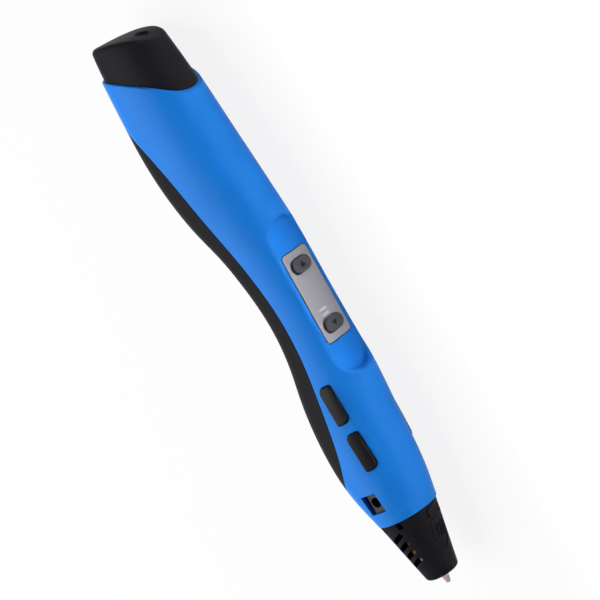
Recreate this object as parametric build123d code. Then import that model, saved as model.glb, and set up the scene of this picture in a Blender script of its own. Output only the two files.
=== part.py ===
from build123d import *
from collections import namedtuple
from functools import cache
import math
import os

# A pen that melts plastic filament.  The filament enters the tail, a small geared motor drives it
# forward with a knurled wheel, and it leaves melted through a ceramic nozzle.
# Millimetres.  Origin at the nozzle's orifice, +X out of the nozzle, +Y towards the key panel,
# +Z towards the side with the power socket, which is uppermost when the pen lies on a table.

# ---------------------------------------------------------------- walls and clearances
WALL = 1.6  # moulded shells
SEAM = 0.12  # line between the upper and the belly shell
PLUG_GAP = 0.15  # round a piece that plugs into a shell
KEY_GAP = 0.2  # round a key or a button
RUNNING = 0.03  # radial clearance of a turning shaft
TRAVEL = 0.4  # how far a key or a button goes down
SWITCH_GAP = TRAVEL + 0.05  # from a key at rest to the plunger under it
BOARD = 1.0  # thickness of the circuit boards
SWITCH_BODY = 1.5  # height of a push switch's box
SWITCH_HEIGHT = 2.2  # with its plunger
FILAMENT = 1.75

# ---------------------------------------------------------------- outside form
# Cross-sections of the body, each a superellipse: place along the pen, half height, half width,
# height of the centre and the power that makes the sides flatter as it grows.
Section = namedtuple("Section", "x half_height half_width centre power")
LENGTH = 183.0
TAIL_X = -176.0
RIM_X = -163.5
REAR_X = -145.0
DRIVE_X = -128.0  # the drive wheel stands here
GRIP_REAR_X = -111.0
WAIST_X = -93.5
GRIP_FRONT_X = -80.0
SHOULDER_X = -67.0
FRONT_X = -52.5
SOCKET_X = -38.5
RING_X = -27.0
NOSE_X = -24.3  # the nose cover begins here
NOSE_END_X = -3.2
SECTIONS = (
    Section(-LENGTH - 6.0, 11.4, 8.2, 0.9, 2.3),
    Section(TAIL_X, 12.7, 9.5, 0.9, 2.3),
    Section(RIM_X, 13.7, 10.5, 0.9, 2.3),
    Section(REAR_X, 14.75, 10.95, 0.9, 2.3),
    Section(DRIVE_X, 14.35, 10.75, 2.4, 2.3),
    Section(GRIP_REAR_X, 12.4, 9.85, 5.35, 2.3),
    Section(WAIST_X, 11.05, 9.25, 6.3, 2.3),
    Section(GRIP_FRONT_X, 11.4, 9.5, 5.5, 2.3),
    Section(SHOULDER_X, 12.75, 10.4, 3.4, 2.3),
    Section(FRONT_X, 13.15, 11.0, 1.2, 2.25),
    Section(SOCKET_X, 12.8, 10.7, 0.35, 2.15),
    Section(RING_X, 10.6, 9.9, 0.5, 2.0),
    Section(NOSE_X + 4.3, 9.2, 9.0, 0.5, 2.0),
)
SKIN_STEPS = 18  # even steps between the first and the last section
NOSE_ROOT = Section(NOSE_X, 9.5, 9.15, 0.4, 2.0)
NOSE_END = Section(NOSE_END_X, 5.1, 5.1, 0.0, 2.0)

# Side view of the slanted rear rim of the upper shell and of the rounded end of the cap.
RIM_LINE = (
    (-175.4, -16.0),
    (-172.4, -5.6),
    (-167.3, 4.6),
    (-163.6, 9.9),
    (-160.1, 13.4),
    (-157.8, 16.0),
)
END_LINE = (
    (-LENGTH, -16.0),
    (-LENGTH, -10.0),
    (-182.3, -3.5),
    (-180.7, 4.2),
    (-178.6, 9.3),
    (-176.4, 12.3),
    (-173.0, 15.2),
)
CAP_STEP = 0.8  # how far the cap's side lies below the shell's
# Side view of the line where the dark belly meets the upper shell.
BELLY_LINE = (
    (-165.0, -15.5),
    (-156.5, -8.4),
    (DRIVE_X, 0.4),
    (WAIST_X, 5.4),
    (-60.0, 1.7),
    (-42.5, -4.8),
    (-34.0, -14.0),
)

# ---------------------------------------------------------------- thumb dish, plate and keys
DISH_DEPTH = 3.4  # below the crown of the waist
PANEL_X = -92.4  # middle of the dish, the plate and the pair of keys
DISH_LENGTH = 47.6
DISH_WIDTH = 14.0
DISH_FLOOR = 2.4  # thickness under the dish
DISH_FLARE = 14.0  # degrees
DISH_RIM = 1.2  # rounding of the dish's upper edge
RIM_ROUND = 0.4  # rounding of the shell's rear rim
PANEL_TILT = 2.4  # degrees, down towards the nose
PLATE_LENGTH = 27.7
PLATE_WIDTH = 11.2
PLATE_THICK = 1.2
PLATE_PROUD = 0.1
PLATE_GAP = 0.25  # round the plate
PLATE_CORNER = 1.2
PLATE_LEDGE = 0.9
KEY_SPACING = 18.8
KEY_LENGTH = 8.0
KEY_WIDTH = 4.2
KEY_PROUD = 1.0  # above the plate
KEY_FLANGE = 0.75
FLANGE_REACH = 0.5

# ---------------------------------------------------------------- side buttons and power socket
BUTTON_XS = (-63.0, -47.7)  # rear and front button on the +Z side
BUTTON_Y = 7.0
BUTTON_Z = 9.6
BUTTON_LEAN = 15.0  # degrees, from +Z towards +Y
BUTTON_LENGTH = 11.9
BUTTON_HEIGHT = 4.1
BUTTON_ROUND = 2.0
BUTTON_SHARP = 0.5
BUTTON_PROUD = 0.8
BUTTON_EDGE = 0.45  # rounding of a button's top
BUTTON_FLANGE = 0.65  # how far its flange reaches under the shell
JACK_X = -32.0
JACK_Y = 0.3
JACK_FACE_Z = 8.9
JACK_LENGTH = 6.0
JACK_HEIGHT = 4.4
JACK_DEPTH = 5.2
JACK_BORE = 3.2
JACK_PIN = 1.0
JACK_PIN_SUNK = 1.5  # below the socket's face
WINDOW_LENGTH = 6.3
WINDOW_HEIGHT = 5.8
WINDOW_DROP = 0.3  # the window's middle lies below the socket's
MAIN_BOARD_LENGTH = 40.0
SIDE_BOARD_WIDTH = 7.4
SIDE_BOARD_END = 8.5  # past the middle of the last button
SIDE_POST = 0.6  # radius of the posts that the side boards stand on
SIDE_POST_X = 7.8  # from a button's middle to the nearest end post

# ---------------------------------------------------------------- filament path and feed
INLET_X = -179.4
INLET_Y = 7.85
FEED_Y = 5.5
TUBE_BORE = 2.0
TUBE_OUTER = 3.0
WHEEL_RADIUS = 5.25
WHEEL_WIDTH = 3.0
WHEEL_GROOVE = 0.3
WHEEL_NOTCHES = 36
SHAFT_RADIUS = 1.0
BUSH_RADIUS = 1.9
PINION_TEETH = 12
CROWN_TEETH = 36
PINION_PITCH_RADIUS = 2.15
TOOTH_RISE = 0.3  # above the pitch line
TOOTH_FALL = 0.42  # below it
CROWN_FACE = 0.9  # radial length of the crown's teeth
CROWN_DISC = 1.4
MOTOR_RADIUS = 4.0
MOTOR_LENGTH = 16.0
GEARBOX_LENGTH = 10.0
MOTOR_SHAFT = 0.75
CHEEK = 1.2
CHEEK_INNER_Z = 4.5
ROLLER_RADIUS = 2.5
ROLLER_WIDTH = 2.5
ROLLER_PRELOAD = 0.35
ARM_PLATE = 1.0
ARM_INNER_Z = 1.6
ARM_PIN = 0.75

# ---------------------------------------------------------------- hot end
ORIFICE = 0.7
NOZZLE_TIP = 1.3
NOZZLE_NECK = 3.0
NOZZLE_BODY = 6.0
NOZZLE_LENGTH = 19.5
BREAK_OUTER = 3.0
BREAK_LENGTH = 18.0
NOSE_WALL = 1.5
SLOT_COUNT = 4
SLOT_PITCH = 3.0
SLOT_WIDTH = 1.5
SLOT_LENGTH = 5.8
SLOT_Y = -1.0
SLOT_SLANT = 23.0  # degrees, the lower end towards the nozzle
FIRST_SLOT_X = -19.3
HOOK_YS = (2.9, -4.3)  # the notches in the rear edge that the cover's snap hooks show through
HOOK_REACH = 2.4

# Worked out from the sizes above.
WHEEL_Y = FEED_Y - FILAMENT / 2 - WHEEL_RADIUS + WHEEL_GROOVE
ROLLER_Y = FEED_Y + FILAMENT / 2 - ROLLER_PRELOAD + ROLLER_RADIUS
CROWN_RADIUS = PINION_PITCH_RADIUS * CROWN_TEETH / PINION_TEETH
CROWN_TIP = CROWN_RADIUS + CROWN_FACE / 2
MOTOR_WALL_X = DRIVE_X - CROWN_TIP - 4.6
FRAME_FRONT_X = DRIVE_X + CROWN_TIP + 2.2
CHEEK_OUTER_Z = CHEEK_INNER_Z + CHEEK
FRAME_TOP = FEED_Y + 6.5
FRAME_BOTTOM = WHEEL_Y - 5.9
ARM_PIVOT = (DRIVE_X - 7.6, ROLLER_Y + 0.9)
ARM_END = (DRIVE_X + 5.7, ROLLER_Y - 0.4)
SIDE_BOARD_DEPTH = WALL + 0.9 + SWITCH_GAP + SWITCH_HEIGHT


def sized(row, inset):
    return row._replace(half_height=row.half_height - inset, half_width=row.half_width - inset)


def power_of(value, exponent):
    return math.copysign(abs(value) ** exponent, value)


def outline(row):
    # A closed superellipse across the pen.
    points = []
    for i in range(16):
        turn = 2 * math.pi * i / 16
        y = row.centre + row.half_height * power_of(math.sin(turn), 2 / row.power)
        z = row.half_width * power_of(math.cos(turn), 2 / row.power)
        points.append((row.x, y, z))
    return make_face(Spline(*points, periodic=True))


def slope(index, field):
    # How fast one size changes along the pen at a named section.
    low = SECTIONS[max(index - 1, 0)]
    high = SECTIONS[min(index + 1, len(SECTIONS) - 1)]
    return (getattr(high, field) - getattr(low, field)) / (high.x - low.x)


def section_at(x):
    # The body's cross-section anywhere: a smooth curve through the named ones.
    index = max(i for i in range(len(SECTIONS) - 1) if i == 0 or SECTIONS[i].x <= x)
    low, high = SECTIONS[index], SECTIONS[index + 1]
    span = high.x - low.x
    u = (x - low.x) / span
    sizes = [x]
    for field in Section._fields[1:]:
        a, b = getattr(low, field), getattr(high, field)
        rise_a, rise_b = span * slope(index, field), span * slope(index + 1, field)
        even = a + (b - a) * u * u * (3 - 2 * u)
        sizes.append(even + u * (1 - u) * (rise_a * (1 - u) - rise_b * u))
    return Section(*sizes)


@cache
def skin(inset):
    # The body's outside form, moved inwards by inset.
    first, last = SECTIONS[0].x, SECTIONS[-1].x
    places = [first + (last - first) * i / SKIN_STEPS for i in range(SKIN_STEPS + 1)]
    return loft([outline(sized(section_at(x), inset)) for x in places])


def lowest_y(x):
    row = section_at(x)
    return row.centre - row.half_height


def block(x0, x1, y0, y1, z0, z1):
    middle = Pos((x0 + x1) / 2, (y0 + y1) / 2, (z0 + z1) / 2)
    return middle * Box(x1 - x0, y1 - y0, z1 - z0)


def bar_x(radius, x0, x1, y, z=0.0):
    return Pos((x0 + x1) / 2, y, z) * Rot(0, 90, 0) * Cylinder(radius, x1 - x0)


def bar_y(radius, y0, y1, x, z):
    return Pos(x, (y0 + y1) / 2, z) * Rot(90, 0, 0) * Cylinder(radius, y1 - y0)


def bar_z(radius, z0, z1, x, y):
    return Pos(x, y, (z0 + z1) / 2) * Cylinder(radius, z1 - z0)


def tube_z(outer, inner, z0, z1, x, y):
    return bar_z(outer, z0, z1, x, y) - bar_z(inner, z0 - 1, z1 + 1, x, y)


def tube_x(outer, inner, x0, x1, y):
    return bar_x(outer, x0, x1, y) - bar_x(inner, x0 - 1, x1 + 1, y)


def behind(line, shift=0.0):
    # Everything on the tail's side of a line drawn in the side view.
    points = [(x + shift, y) for x, y in line]
    foot, head = points[0], points[-1]
    far = -LENGTH - 40
    rest = Polyline(head, (head[0], 40), (far, 40), (far, -40), (foot[0], -40), foot)
    return extrude(make_face([Spline(*points), rest]), 30, both=True)


def ahead_of(x):
    return block(x, 60, -40, 40, -30, 30)


def below_belly_line(drop=0.0):
    points = [(x, y - drop) for x, y in BELLY_LINE]
    line = Spline(*points)
    rest = Polyline(points[-1], (points[-1][0], -40), (points[0][0], -40), points[0])
    return extrude(make_face([line, rest]), 30, both=True)


# ---------------------------------------------------------------- places on the body
PANEL_SECTION = section_at(PANEL_X)
PANEL_Y = PANEL_SECTION.centre + PANEL_SECTION.half_height - DISH_DEPTH


def panel_plane(depth, along=0.0):
    # A plane parallel to the dish floor, that far below it; x runs towards the nose.
    tilt = math.radians(PANEL_TILT)
    forward = Vector(math.cos(tilt), -math.sin(tilt), 0)
    normal = Vector(math.sin(tilt), math.cos(tilt), 0)
    origin = Vector(PANEL_X, PANEL_Y, 0) + forward * along - normal * depth
    return Plane(origin, x_dir=forward, z_dir=normal)


def button_plane(x, depth=0.0):
    # A plane across a side button's travel, that far below the skin; y runs towards the panel.
    lean = math.radians(BUTTON_LEAN)
    normal = Vector(0, math.sin(lean), math.cos(lean))
    return Plane(Vector(x, BUTTON_Y, BUTTON_Z) - normal * depth, x_dir=(1, 0, 0), z_dir=normal)


def button_sketch(grow):
    # A rectangle with two opposite corners well rounded.
    sketch = Rectangle(BUTTON_LENGTH + 2 * grow, BUTTON_HEIGHT + 2 * grow)
    sketch = fillet([v for v in sketch.vertices() if v.X * v.Y > 0], BUTTON_ROUND + grow)
    sharp = [v for v in sketch.vertices() if abs(v.X * v.Y) > 0.95 * BUTTON_LENGTH * BUTTON_HEIGHT / 4]
    return fillet([v for v in sharp if v.X * v.Y < 0], BUTTON_SHARP + grow)


def button_prism(x, grow):
    return extrude(button_plane(x) * button_sketch(grow), 5, both=True)


def key_sketch(grow):
    return SlotOverall(KEY_LENGTH + 2 * grow, KEY_WIDTH + 2 * grow, rotation=90)


def plate_sketch(grow):
    corner = max(PLATE_CORNER + grow, 0.3)
    return RectangleRounded(PLATE_LENGTH + 2 * grow, PLATE_WIDTH + 2 * grow, corner)


# ---------------------------------------------------------------- shells
OUTER = skin(0.0)
INNER = skin(WALL)


def dish():
    cut = extrude(panel_plane(0) * SlotOverall(DISH_LENGTH, DISH_WIDTH), 9, taper=-DISH_FLARE)
    floor_edges = cut.faces().sort_by(Axis.Y)[0].edges()
    return fillet(floor_edges, 1.0)


def dished_body():
    # The outside form, cut to length, with the dish and its soft rim.
    body = OUTER - behind(RIM_LINE) - ahead_of(NOSE_X)
    rear = body.faces().sort_by(Axis.X)[0].edges()
    body = fillet(rear, RIM_ROUND) - dish()
    upper = body.edges().filter_by_position(Axis.Y, PANEL_Y - 0.5, PANEL_Y + 5)
    near = upper.filter_by_position(Axis.X, PANEL_X - DISH_LENGTH / 2, PANEL_X + DISH_LENGTH / 2)
    return fillet(near.filter_by(GeomType.BSPLINE), DISH_RIM)


@cache
def hull():
    # Both shells in one: hollow, but with a floor under the dish.
    backing = extrude(
        panel_plane(DISH_FLOOR) * SlotOverall(DISH_LENGTH + 3, DISH_WIDTH + 3), DISH_FLOOR + 9
    )
    return dished_body() - (INNER - backing)


def panel_openings():
    recess = extrude(panel_plane(PLATE_THICK - PLATE_PROUD) * plate_sketch(PLATE_GAP), 4)
    window = extrude(panel_plane(DISH_FLOOR + 1) * plate_sketch(-PLATE_LEDGE), 6)
    return recess + window


def switch_depth():
    # From the dish floor down to the face of the main board.
    flange_foot = PLATE_THICK - PLATE_PROUD + PLUG_GAP + KEY_FLANGE
    return flange_foot + SWITCH_GAP + SWITCH_HEIGHT


def panel_posts():
    posts = []
    length = switch_depth() - DISH_FLOOR
    for along in (-MAIN_BOARD_LENGTH / 2 + 3, MAIN_BOARD_LENGTH / 2 - 3):
        for side in (-4.4, 4.4):
            foot = panel_plane(switch_depth()) * Pos(along, side) * Circle(1.1)
            posts.append(extrude(foot, length + 0.3))
    return posts


def side_posts():
    posts = []
    middle = (BUTTON_XS[0] + BUTTON_XS[1]) / 2
    for x in (BUTTON_XS[0] - SIDE_POST_X, middle, BUTTON_XS[1] + SIDE_POST_X):
        foot = button_plane(x, SIDE_BOARD_DEPTH) * Circle(SIDE_POST)
        posts.append(extrude(foot, SIDE_BOARD_DEPTH) & OUTER)
    mirrored = [mirror(posts[1], about=Plane.XY), mirror(posts[2], about=Plane.XY)]
    return posts + mirrored


def jack_posts():
    posts = []
    for x in (JACK_X - 2.4, JACK_X + 2.4):
        for y in (JACK_Y - 4.5, JACK_Y + 4.5):
            posts.append(bar_z(0.7, JACK_FACE_Z - JACK_DEPTH, 12, x, y) & OUTER)
    return posts


def roof_posts():
    # Two short posts under the roof that take the screws of the drive frame.
    posts = []
    for z in (-3.0, 3.0):
        posts.append(bar_y(2.2, FRAME_TOP, FRAME_TOP + 6, MOTOR_WALL_X - 2.6, z) & OUTER)
    return posts


def upper_shell():
    shell = hull() - below_belly_line()
    for post in panel_posts() + side_posts() + jack_posts() + roof_posts():
        shell = shell + post
    shell = shell - panel_openings()
    for x in BUTTON_XS:
        shell = shell - button_prism(x, KEY_GAP)
    shell = shell - mirror(button_prism(BUTTON_XS[1], KEY_GAP), about=Plane.XY)
    half = WINDOW_HEIGHT / 2
    middle = JACK_Y - WINDOW_DROP
    reach = WINDOW_LENGTH / 2
    window = block(JACK_X - reach, JACK_X + reach, middle - half, middle + half, 6.0, 14.0)
    shell = shell - window
    for z in (-3.0, 3.0):
        shell = shell - bar_y(0.8, FRAME_TOP - 1, FRAME_TOP + 2.6, MOTOR_WALL_X - 2.6, z)
    return shell


def case_screw_places():
    # Where the two case screws stand, with the height of each head's seat.
    return [(x, lowest_y(x) + 1.9) for x in (MOTOR_WALL_X + 0.8, FRAME_FRONT_X + 1.2)]


def belly_tongue():
    # It hooks under the upper shell at the belly's front end.
    zone = block(-45.0, -36.5, -20, -6.5, -4, 4)
    hook = skin(WALL + PLUG_GAP) - skin(WALL + 1.4)
    root = (skin(WALL - 0.2) - skin(WALL + 1.4)) & below_belly_line(0.5)
    return (hook & zone) + (root & zone)


def belly_shell():
    shell = (hull() & below_belly_line(SEAM)) + belly_tongue()
    for x, seat in case_screw_places():
        shell = shell + (bar_y(2.7, seat - 4, seat + 1.0, x, 0) & OUTER)
        shell = shell - bar_y(1.05, seat - 5, seat + 2, x, 0) - bar_y(2.1, seat - 6, seat, x, 0)
    return shell


def tail_cap():
    # The part that shows stands on the shell's rim; a thinner skirt goes on inside the shell.
    shown = (skin(CAP_STEP) & behind(RIM_LINE, -0.1)) - behind(END_LINE)
    shown = fillet(shown.faces().sort_by(Axis.X)[0].edges(), 1.6)
    skirt = skin(WALL + PLUG_GAP) - behind(END_LINE, 6.0) - ahead_of(-152.0)
    hollow = skin(WALL + PLUG_GAP + 1.5) - behind(END_LINE, 2.4)
    seat = bar_x(3.2, -LENGTH - 5, INLET_X + 8, INLET_Y)
    return shown + skirt - hollow - seat


def inlet_bush():
    front = INLET_X + 6.5
    body = bar_x(3.2, -LENGTH - 2, front, INLET_Y)
    mouth = Pos(INLET_X + 0.7, INLET_Y, 0) * Rot(0, 90, 0) * Cone(2.5, TUBE_BORE / 2, 2.6)
    throat = bar_x(2.5, -LENGTH - 5, INLET_X - 0.59, INLET_Y)
    bore = bar_x(TUBE_BORE / 2, -LENGTH - 5, front + 1, INLET_Y)
    seat = bar_x(TUBE_OUTER / 2, front - 2.0, front + 1, INLET_Y)
    return body - mouth - throat - bore - seat - behind(END_LINE)


def nose_cover():
    outer = loft([outline(NOSE_ROOT), outline(NOSE_END)])
    end_edge = outer.faces().sort_by(Axis.X)[-1].edges()
    outer = fillet(end_edge, 1.2)
    inner_end = NOSE_END._replace(x=NOSE_END_X - NOSE_WALL)
    root = NOSE_ROOT._replace(x=NOSE_X - 0.01)
    cover = outer - loft([outline(sized(root, NOSE_WALL)), outline(sized(inner_end, NOSE_WALL))])
    cover = cover - bar_x(NOZZLE_NECK / 2 + 0.4, NOSE_END_X - 4, 1, 0)
    for i in range(SLOT_COUNT):
        x = FIRST_SLOT_X + i * SLOT_PITCH
        cover = cover - Pos(x, SLOT_Y, 0) * Rot(0, 0, SLOT_SLANT) * Box(SLOT_WIDTH, SLOT_LENGTH, 30)
    for y in HOOK_YS:
        cover = cover - Pos(NOSE_X, y, 0) * Box(2 * HOOK_REACH, 1.7, 30)
    tab = Pos(NOSE_X + 2.4, NOSE_ROOT.centre + NOSE_ROOT.half_height - 1.0, 0) * Box(2.6, 2.0, 5.0)
    return cover + fillet(tab.edges().filter_by(Axis.Y), 0.5)


# ---------------------------------------------------------------- plate, keys and buttons
def key_spots():
    return (-KEY_SPACING / 2, KEY_SPACING / 2)


def key_plate():
    plate = extrude(panel_plane(PLATE_THICK - PLATE_PROUD) * plate_sketch(0), PLATE_THICK)
    for along in key_spots():
        plate = plate - extrude(panel_plane(4, along) * key_sketch(KEY_GAP), 8)
    return plate


def key(along, way):
    # A capsule key with a retaining flange under the plate and an arrow sunk in its top.
    flange_top = PLATE_THICK - PLATE_PROUD + PLUG_GAP
    top = PLATE_PROUD + KEY_PROUD
    body = extrude(panel_plane(flange_top, along) * key_sketch(0), flange_top + top)
    body = fillet(body.faces().sort_by(Axis.Y)[-1].edges(), 0.45)
    flange = extrude(panel_plane(flange_top + KEY_FLANGE, along) * key_sketch(FLANGE_REACH), KEY_FLANGE)
    arrow = panel_plane(-top, along) * Polygon((way * 1.0, 0), (-way * 0.7, 1.1), (-way * 0.7, -1.1), align=None)
    return body + flange - extrude(arrow, 0.3, both=True)


def side_button(x):
    face = button_prism(x, 0) & (skin(-BUTTON_PROUD) - skin(WALL + 0.3))
    outwards = button_plane(x)
    top = face.faces().sort_by(Axis(outwards.origin, outwards.z_dir))[-1]
    face = fillet(top.edges(), BUTTON_EDGE)
    flange = button_prism(x, BUTTON_FLANGE) & (skin(WALL + 0.1) - skin(WALL + 0.9))
    return face + flange


def switch(plane):
    # A small push switch standing on a board: its box and its plunger.
    box = extrude(plane * RectangleRounded(3.6, 3.6, 0.4), SWITCH_BODY)
    return box + extrude(plane * Circle(1.0), SWITCH_HEIGHT)


def key_switches():
    return Compound(children=[switch(panel_plane(switch_depth(), along)) for along in key_spots()])


def side_switches():
    return Compound(children=[switch(button_plane(x, SIDE_BOARD_DEPTH)) for x in BUTTON_XS])


def side_board():
    middle = (BUTTON_XS[0] + BUTTON_XS[1]) / 2
    length = BUTTON_XS[1] - BUTTON_XS[0] + 2 * SIDE_BOARD_END
    sketch = RectangleRounded(length, SIDE_BOARD_WIDTH, 1.0)
    return extrude(button_plane(middle, SIDE_BOARD_DEPTH) * sketch, -BOARD)


def left_board():
    sketch = RectangleRounded(2 * SIDE_BOARD_END, SIDE_BOARD_WIDTH, 1.0)
    board = extrude(button_plane(BUTTON_XS[1], SIDE_BOARD_DEPTH) * sketch, -BOARD)
    return mirror(board, about=Plane.XY)


def main_board():
    return extrude(panel_plane(switch_depth()) * RectangleRounded(MAIN_BOARD_LENGTH, 11.6, 1.0), -BOARD)


def board_parts():
    # A controller, a driver, a plug for the motor's leads and a capacitor, under the board.
    under = panel_plane(switch_depth() + BOARD)
    parts = []
    for along, length, width, height in ((-8, 7, 7, 1.0), (4, 5, 4, 1.2), (-19, 5, 6, 1.2), (15, 5, 3.4, 1.2)):
        parts.append(extrude(under * Pos(along, 0) * Rectangle(length, width), -height))
    return Compound(children=parts)


# ---------------------------------------------------------------- power socket
def power_jack():
    half = JACK_LENGTH / 2
    body = block(
        JACK_X - half, JACK_X + half, JACK_Y - JACK_HEIGHT / 2, JACK_Y + JACK_HEIGHT / 2,
        JACK_FACE_Z - JACK_DEPTH, JACK_FACE_Z,
    )
    body = fillet(body.edges().filter_by(Axis.Z), 0.4)
    return body - bar_z(JACK_BORE / 2, JACK_FACE_Z - JACK_DEPTH + 0.8, JACK_FACE_Z + 1, JACK_X, JACK_Y)


def power_pin():
    floor = JACK_FACE_Z - JACK_DEPTH + 0.8
    pin = bar_z(JACK_PIN / 2, floor, JACK_FACE_Z - JACK_PIN_SUNK, JACK_X, JACK_Y)
    return fillet(pin.faces().sort_by(Axis.Z)[-1].edges(), 0.3)


def jack_board():
    top = JACK_FACE_Z - JACK_DEPTH
    return block(JACK_X - 3.6, JACK_X + 3.6, JACK_Y - 5.3, JACK_Y + 5.3, top - BOARD, top)


# ---------------------------------------------------------------- filament path
def guide_tube(points, bend):
    path = FilletPolyline(*[(x, y, 0) for x, y in points], radius=bend)
    start = Plane(origin=(points[0][0], points[0][1], 0), x_dir=(0, 0, 1), z_dir=(1, 0, 0))
    ring = start * (Circle(TUBE_OUTER / 2) - Circle(TUBE_BORE / 2))
    return sweep(ring, path=path)


def rear_guide_tube():
    start = INLET_X + 4.5
    nip = DRIVE_X - 4.0
    points = [(start, INLET_Y), (start + 8, INLET_Y), (nip - 14, FEED_Y), (nip, FEED_Y)]
    return guide_tube(points, 80.0)


def front_guide_tube():
    nip = DRIVE_X + 4.0
    end = HEAT_BREAK_X - 0.5
    return guide_tube([(nip, FEED_Y), (nip + 14, FEED_Y), (end - 15, 0), (end, 0)], 100.0)


HEAT_BREAK_X = -NOZZLE_LENGTH + 3.0 - BREAK_LENGTH


def heat_break():
    return tube_x(BREAK_OUTER / 2, TUBE_BORE / 2, HEAT_BREAK_X, HEAT_BREAK_X + BREAK_LENGTH, 0)


def tube_coupler():
    return tube_x(2.2, TUBE_OUTER / 2, HEAT_BREAK_X - 3.0, HEAT_BREAK_X + 3.0, 0)


def hot_end_carrier():
    # The bulkhead that closes the upper shell, with the spigot that the nose cover goes over.
    plate = skin(WALL + PLUG_GAP) & block(NOSE_X - 3.6, NOSE_X, -20, 20, -20, 20)
    spigot = bar_x(6.8, NOSE_X - 1, NOSE_X + 2.2, NOSE_ROOT.centre)
    bored = plate + spigot - bar_x(5.4, NOSE_X - 1.6, NOSE_X + 5, NOSE_ROOT.centre)
    bored = bored - bar_x(BREAK_OUTER / 2, NOSE_X - 6, NOSE_X + 5, 0)
    for y in (-3.6, 3.6):
        bored = bored - Pos(NOSE_X - 2, y, 0) * Box(8, 1.6, 5.0)
    return bored


def nozzle():
    # Turned ceramic: orifice, cone, neck, body and a socket for the heat break.
    neck_x = NOSE_END_X - 1.8
    profile = Polyline(
        (0, ORIFICE / 2), (0, NOZZLE_TIP / 2), (-3.4, NOZZLE_NECK / 2), (neck_x, NOZZLE_NECK / 2),
        (neck_x - 0.8, NOZZLE_BODY / 2), (-NOZZLE_LENGTH, NOZZLE_BODY / 2),
        (-NOZZLE_LENGTH, BREAK_OUTER / 2), (-NOZZLE_LENGTH + 3.0, BREAK_OUTER / 2),
        (-NOZZLE_LENGTH + 3.0, TUBE_BORE / 2), (-2.6, TUBE_BORE / 2), (-1.6, ORIFICE / 2),
        (0, ORIFICE / 2),
    )
    return revolve(make_face(profile), Axis.X)


def heater_jacket():
    return tube_x(NOZZLE_BODY / 2 + 0.8, NOZZLE_BODY / 2, -17.5, -8.5, 0)


def insulation_sleeve():
    return tube_x(NOZZLE_BODY / 2 + 1.7, NOZZLE_BODY / 2 + 0.8, -17.5, -11.5, 0)


def thermistor():
    bead = bar_x(0.5, -NOZZLE_LENGTH + 0.2, -17.6, NOZZLE_BODY / 2 + 0.5)
    return fillet(bead.edges().filter_by(GeomType.CIRCLE), 0.2)


# ---------------------------------------------------------------- feed drive
def feed_motor():
    # A round can with two flats, an end boss and two terminals.
    rear = MOTOR_WALL_X - GEARBOX_LENGTH - MOTOR_LENGTH
    can = bar_x(MOTOR_RADIUS, rear, rear + MOTOR_LENGTH, WHEEL_Y)
    can = can & block(rear, rear + MOTOR_LENGTH, -20, 20, -MOTOR_RADIUS + 0.5, MOTOR_RADIUS - 0.5)
    can = can + bar_x(1.4, rear - 0.8, rear, WHEEL_Y)
    for z in (-2.2, 2.2):
        can = can + block(rear - 1.6, rear, WHEEL_Y - 0.6, WHEEL_Y + 0.6, z - 0.2, z + 0.2)
    return can


def gearbox():
    x0 = MOTOR_WALL_X - GEARBOX_LENGTH
    case = bar_x(MOTOR_RADIUS, x0, MOTOR_WALL_X, WHEEL_Y)
    for x in (x0 + 3.0, x0 + 6.5):
        case = case - tube_x(MOTOR_RADIUS + 1, MOTOR_RADIUS - 0.25, x, x + 0.5, WHEEL_Y)
    case = case + bar_x(1.5, MOTOR_WALL_X, MOTOR_WALL_X + 1.0, WHEEL_Y)
    return case - bar_x(MOTOR_SHAFT + RUNNING, MOTOR_WALL_X - 3, MOTOR_WALL_X + 3, WHEEL_Y)


def pinion_span():
    # The pinion's teeth lie under the crown's, with a little to spare at each end.
    return DRIVE_X - CROWN_TIP - 0.1, DRIVE_X - CROWN_TIP + CROWN_FACE + 0.2


def motor_shaft():
    return bar_x(MOTOR_SHAFT, MOTOR_WALL_X - 2.9, pinion_span()[1], WHEEL_Y)


def motor_pinion():
    x0, x1 = pinion_span()
    root = PINION_PITCH_RADIUS - TOOTH_FALL
    tip = PINION_PITCH_RADIUS + TOOTH_RISE
    tooth = Polygon(
        (root - 0.2, -0.36), (tip, -0.08), (tip, 0.08), (root - 0.2, 0.36), align=None
    )
    blank = Circle(root)
    for i in range(PINION_TEETH):
        blank = blank + Rot(0, 0, 360 * i / PINION_TEETH) * tooth
    across = Plane(origin=(x0, WHEEL_Y, 0), x_dir=(0, 0, 1), z_dir=(1, 0, 0))
    teeth = extrude(across * blank, x1 - x0)
    hub = bar_x(root, x0 - 1.4, x0, WHEEL_Y)
    return teeth + hub - bar_x(MOTOR_SHAFT, x0 - 3, x1 + 1, WHEEL_Y)


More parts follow.
